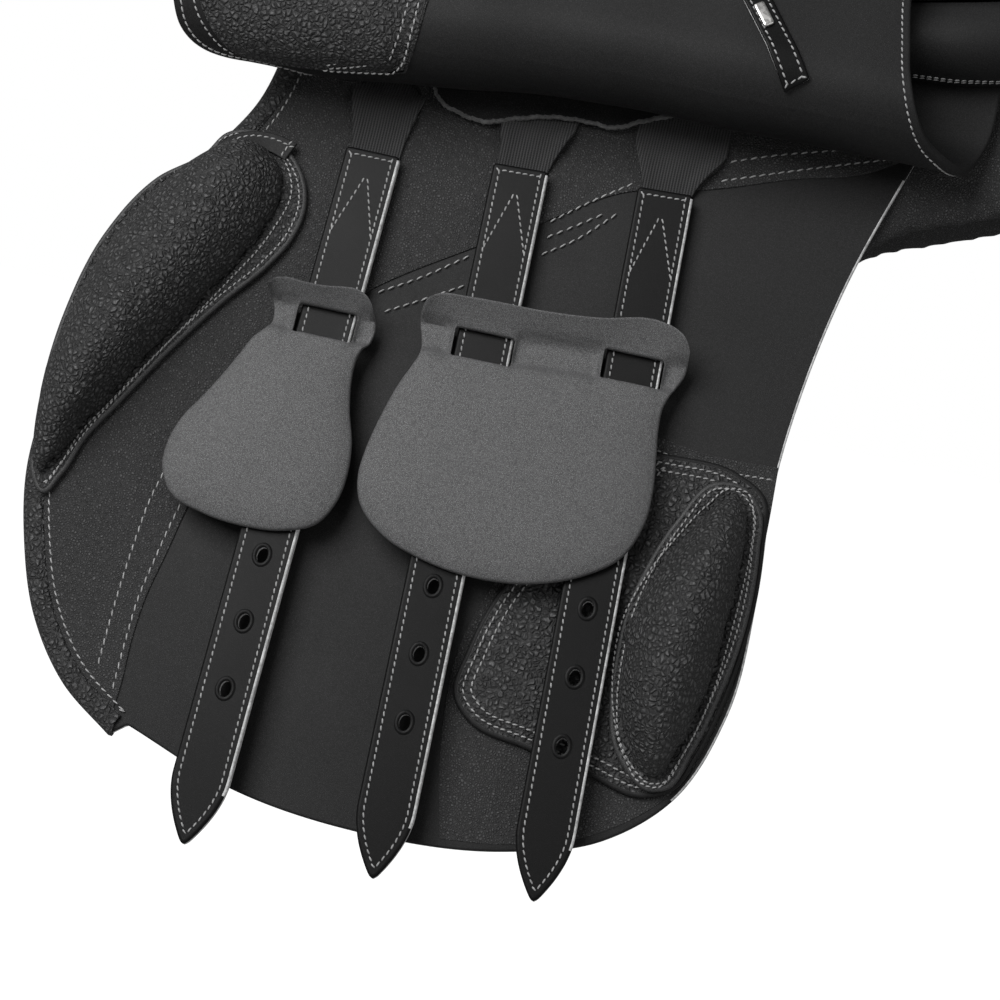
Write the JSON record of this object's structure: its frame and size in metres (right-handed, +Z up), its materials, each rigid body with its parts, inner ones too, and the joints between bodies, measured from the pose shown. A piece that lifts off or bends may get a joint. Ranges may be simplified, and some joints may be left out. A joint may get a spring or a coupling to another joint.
{
  "type": "all-purpose riding saddle",
  "caption": "All-purpose riding saddle with padded panels, fold-up flaps, sweat flaps, padded knee and thigh blocks, sliding buckle guards and punched girth straps on webs.",
  "frame": {"origin": "the top of the horse's back under the lowest point of the seat", "axes": "+X towards the cantle, -Y the near (left) side, +Z up"},
  "size_m": [0.5176, 0.4786, 0.6668],
  "materials": {
    "seat_leather": "smooth, slightly polished black leather",
    "grained_leather": "pebbled black leather",
    "strap_leather": "smooth black leather with stitched edges",
    "guard_leather": "matt grey leather",
    "raw_suede": "raw fibrous grey leather",
    "webbing": "ribbed black webbing",
    "plated_steel": "bright plated steel",
    "tree_moulding": "matt moulded plastic"
  },
  "bodies": {
    "saddle": {"seat": "seat_leather", "tree": "tree_moulding", "head_plate": "plated_steel", "panel_L": "grained_leather", "sweat_flap_L": "grained_leather", "thigh_base_L": "grained_leather", "web_root_1_L": "webbing", "web_root_2_L": "webbing", "web_cover_L": "raw_suede", "flap_top_L": "strap_leather", "stirrup_bar_L": "plated_steel", "dee_chape_L": "strap_leather", "panel_R": "grained_leather", "sweat_flap_R": "grained_leather", "thigh_base_R": "grained_leather", "web_root_1_R": "webbing", "web_root_2_R": "webbing", "web_cover_R": "raw_suede", "flap_top_R": "strap_leather", "stirrup_bar_R": "plated_steel", "dee_chape_R": "strap_leather"},
    "flap_bend_1_L": {"flap_bend_1_L": "strap_leather"},
    "flap_bend_2_L": {"flap_bend_2_L": "strap_leather"},
    "flap_leaf_L": {"flap_leaf_L": "strap_leather", "flap_padding_L": "grained_leather", "flap_keeper_L": "strap_leather", "keeper_plate_L": "plated_steel"},
    "front_girth_strap_L": {"girth_strap_1_L": "strap_leather", "girth_web_1_L": "webbing"},
    "rear_girth_straps_L": {"girth_strap_2_L": "strap_leather", "girth_strap_3_L": "strap_leather", "girth_web_2_L": "webbing", "girth_web_3_L": "webbing"},
    "small_guard_L": {"small_guard_L": "guard_leather"},
    "large_guard_L": {"large_guard_L": "guard_leather"},
    "knee_block_L": {"knee_block_L": "grained_leather"},
    "thigh_block_L": {"thigh_block_L": "grained_leather"},
    "skirt_L": {"skirt_L": "seat_leather"},
    "bar_catch_L": {"bar_catch_L": "plated_steel"},
    "dee_L": {"dee_L": "plated_steel"},
    "flap_bend_1_R": {"flap_bend_1_R": "strap_leather"},
    "flap_bend_2_R": {"flap_bend_2_R": "strap_leather"},
    "flap_leaf_R": {"flap_leaf_R": "strap_leather", "flap_padding_R": "grained_leather", "flap_keeper_R": "strap_leather", "keeper_plate_R": "plated_steel"},
    "front_girth_strap_R": {"girth_strap_1_R": "strap_leather", "girth_web_1_R": "webbing"},
    "rear_girth_straps_R": {"girth_strap_2_R": "strap_leather", "girth_strap_3_R": "strap_leather", "girth_web_2_R": "webbing", "girth_web_3_R": "webbing"},
    "small_guard_R": {"small_guard_R": "guard_leather"},
    "large_guard_R": {"large_guard_R": "guard_leather"},
    "knee_block_R": {"knee_block_R": "grained_leather"},
    "thigh_block_R": {"thigh_block_R": "grained_leather"},
    "skirt_R": {"skirt_R": "seat_leather"},
    "bar_catch_R": {"bar_catch_R": "plated_steel"},
    "dee_R": {"dee_R": "plated_steel"}
  },
  "joints": [
    {"name": "flap_fold_1_L", "type": "hinge", "parent": "saddle", "child": "flap_bend_1_L", "pos_m": [0, -0.13229, -0.03296], "axis": [-1, 0, 0], "range_deg": [-20, 0.52]},
    {"name": "flap_fold_2_L", "type": "hinge", "parent": "flap_bend_1_L", "child": "flap_bend_2_L", "pos_m": [0, -0.15752, -0.03925], "axis": [-1, 0, 0], "range_deg": [-75, 1.91]},
    {"name": "flap_fold_3_L", "type": "hinge", "parent": "flap_bend_2_L", "child": "flap_leaf_L", "pos_m": [0, -0.17558, -0.02055], "axis": [-1, 0, 0], "range_deg": [-79, 2]},
    {"name": "front_strap_swing_L", "type": "hinge", "parent": "saddle", "child": "front_girth_strap_L", "pos_m": [-0.137, -0.13326, -0.0639], "axis": [-1, 0, 0], "range_deg": [0, 75]},
    {"name": "rear_straps_swing_L", "type": "hinge", "parent": "saddle", "child": "rear_girth_straps_L", "pos_m": [-0.03775, -0.1327, -0.06197], "axis": [-1, 0, 0], "range_deg": [0, 75]},
    {"name": "small_guard_slide_L", "type": "slide", "parent": "front_girth_strap_L", "child": "small_guard_L", "axis": [-0.0105, -0.3024, -0.9531], "range_m": [-0.04, 0.055]},
    {"name": "large_guard_slide_L", "type": "slide", "parent": "rear_girth_straps_L", "child": "large_guard_L", "axis": [0.0384, -0.3021, -0.9525], "range_m": [-0.04, 0.018]},
    {"name": "knee_block_off_L", "type": "slide", "parent": "saddle", "child": "knee_block_L", "axis": [0, -0.9613, 0.2756], "range_m": [0, 0.03]},
    {"name": "thigh_block_off_L", "type": "slide", "parent": "saddle", "child": "thigh_block_L", "axis": [0, -0.9613, 0.2756], "range_m": [0, 0.03]},
    {"name": "skirt_lift_L", "type": "hinge", "parent": "saddle", "child": "skirt_L", "pos_m": [-0.025, -0.1125, 0.0355], "axis": [-0.9777, 0.2073, 0.0352], "range_deg": [0, 5]},
    {"name": "bar_catch_turn_L", "type": "hinge", "parent": "saddle", "child": "bar_catch_L", "pos_m": [-0.0882, -0.13475, -0.00417], "axis": [0, -0.9613, 0.2756], "range_deg": [0, 90]},
    {"name": "dee_swing_L", "type": "hinge", "parent": "saddle", "child": "dee_L", "pos_m": [-0.1875, -0.12183, -0.01932], "axis": [-1, 0, 0], "range_deg": [0, 100]},
    {"name": "flap_fold_1_R", "type": "hinge", "parent": "saddle", "child": "flap_bend_1_R", "pos_m": [0, 0.13229, -0.03296], "axis": [1, 0, 0], "range_deg": [-20, 0.52]},
    {"name": "flap_fold_2_R", "type": "hinge", "parent": "flap_bend_1_R", "child": "flap_bend_2_R", "pos_m": [0, 0.15752, -0.03925], "axis": [1, 0, 0], "range_deg": [-75, 1.91]},
    {"name": "flap_fold_3_R", "type": "hinge", "parent": "flap_bend_2_R", "child": "flap_leaf_R", "pos_m": [0, 0.17558, -0.02055], "axis": [1, 0, 0], "range_deg": [-79, 2]},
    {"name": "front_strap_swing_R", "type": "hinge", "parent": "saddle", "child": "front_girth_strap_R", "pos_m": [-0.137, 0.13326, -0.0639], "axis": [1, 0, 0], "range_deg": [0, 75]},
    {"name": "rear_straps_swing_R", "type": "hinge", "parent": "saddle", "child": "rear_girth_straps_R", "pos_m": [-0.03775, 0.1327, -0.06197], "axis": [1, 0, 0], "range_deg": [0, 75]},
    {"name": "small_guard_slide_R", "type": "slide", "parent": "front_girth_strap_R", "child": "small_guard_R", "axis": [-0.0105, 0.3024, -0.9531], "range_m": [-0.04, 0.055]},
    {"name": "large_guard_slide_R", "type": "slide", "parent": "rear_girth_straps_R", "child": "large_guard_R", "axis": [0.0384, 0.3021, -0.9525], "range_m": [-0.04, 0.018]},
    {"name": "knee_block_off_R", "type": "slide", "parent": "saddle", "child": "knee_block_R", "axis": [0, 0.9613, 0.2756], "range_m": [0, 0.03]},
    {"name": "thigh_block_off_R", "type": "slide", "parent": "saddle", "child": "thigh_block_R", "axis": [0, 0.9613, 0.2756], "range_m": [0, 0.03]},
    {"name": "skirt_lift_R", "type": "hinge", "parent": "saddle", "child": "skirt_R", "pos_m": [-0.025, 0.1125, 0.0355], "axis": [0.9777, 0.2073, -0.0352], "range_deg": [0, 5]},
    {"name": "bar_catch_turn_R", "type": "hinge", "parent": "saddle", "child": "bar_catch_R", "pos_m": [-0.0882, 0.13475, -0.00417], "axis": [0, -0.9613, -0.2756], "range_deg": [0, 90]},
    {"name": "dee_swing_R", "type": "hinge", "parent": "saddle", "child": "dee_R", "pos_m": [-0.1875, 0.12183, -0.01932], "axis": [1, 0, 0], "range_deg": [0, 100]}
  ],
  "couplings": [
    {"joint": "flap_fold_1_L", "follows": "flap_fold_3_L", "ratio": 0.25316},
    {"joint": "flap_fold_2_L", "follows": "flap_fold_3_L", "ratio": 0.94937},
    {"joint": "flap_fold_1_R", "follows": "flap_fold_3_R", "ratio": 0.25316},
    {"joint": "flap_fold_2_R", "follows": "flap_fold_3_R", "ratio": 0.94937}
  ]
}
